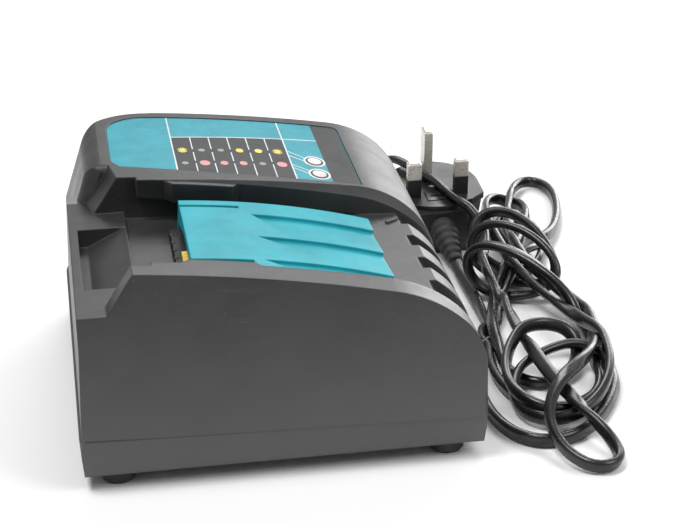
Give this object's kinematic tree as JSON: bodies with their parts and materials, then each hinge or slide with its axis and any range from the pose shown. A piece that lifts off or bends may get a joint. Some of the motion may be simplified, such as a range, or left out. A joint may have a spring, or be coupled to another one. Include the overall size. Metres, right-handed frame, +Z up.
{
  "type": "power tool battery charger",
  "caption": "Slide-in battery charger with rail bay, sprung terminal cover, lamp panel, ribbed nose and a mains lead with three-pin plug.",
  "frame": {"origin": "middle of the case at the level that the feet stand on", "axes": "+X the way the battery slides in, towards the ribbed nose; +Y towards the lamp panel; +Z up"},
  "size_m": [0.243, 0.298, 0.0844],
  "materials": {
    "housing": "fine spark-eroded texture, charcoal",
    "label_teal": "satin printed film, teal and charcoal",
    "lens": "clear moulded lens over a pale lamp",
    "cover_teal": "moulded plastic, teal",
    "spring_steel": "bright spring wire",
    "dark_plastic": "glass-filled moulding, black",
    "contact_metal": "plated brass",
    "yellow_plastic": "moulded connector, yellow",
    "board": "solder resist, green",
    "steel": "zinc plated",
    "ferrite": "sintered ferrite",
    "winding_tape": "polyester tape over the winding",
    "copper_wire": "enamelled copper wire",
    "capacitor_sleeve": "shrink sleeve",
    "heat_sink_alloy": "extruded, bare",
    "component_black": "moulded epoxy",
    "fuse_glass": "glass tube with metal caps",
    "lamp_resin": "clear resin",
    "wire_insulation": "insulated wire",
    "foot_rubber": "moulded rubber, black",
    "lead_rubber": "soft moulded PVC, black",
    "lead_pvc": "extruded PVC sheath, satin black",
    "plug_black": "moulded plastic, satin black",
    "pin_brass": "nickel-washed brass",
    "fuse_carrier_dark": "moulded plastic, black"
  },
  "bodies": {
    "case": {"lower_case": "housing", "upper_case": "housing", "label_panel": "label_teal", "lamp_lenses": "lens", "cover_spring": "spring_steel", "terminal_block": "dark_plastic", "power_blades": "contact_metal", "signal_connector": "yellow_plastic", "circuit_board": "board", "board_screws": "steel", "transformer_core": "ferrite", "transformer_winding": "winding_tape", "filter_choke": "copper_wire", "mains_capacitor": "capacitor_sleeve", "output_capacitors": "capacitor_sleeve", "heat_sinks": "heat_sink_alloy", "power_transistors": "component_black", "input_fuse": "fuse_glass", "lamp_board": "board", "lamps": "lamp_resin", "blade_leads": "wire_insulation", "lamp_lead": "wire_insulation", "case_screws": "steel", "feet": "foot_rubber", "cord_gland": "lead_rubber", "cord_lead": "lead_pvc", "cord_hank": "lead_pvc", "cord_tail": "lead_pvc", "plug_body": "plug_black", "plug_boot": "lead_rubber", "plug_pins": "pin_brass", "plug_pin_sleeves": "plug_black", "plug_fuse_carrier": "fuse_carrier_dark", "plug_screw": "steel"},
    "cover": {"terminal_cover": "cover_teal"}
  },
  "joints": [
    {"name": "cover_slide", "type": "slide", "parent": "case", "child": "cover", "axis": [0.9988, 0, -0.0488], "range_m": [0, 0.022], "stiffness_N_per_m": 40, "springref_m": -0.012, "deforming": ["cover_spring"]}
  ]
}
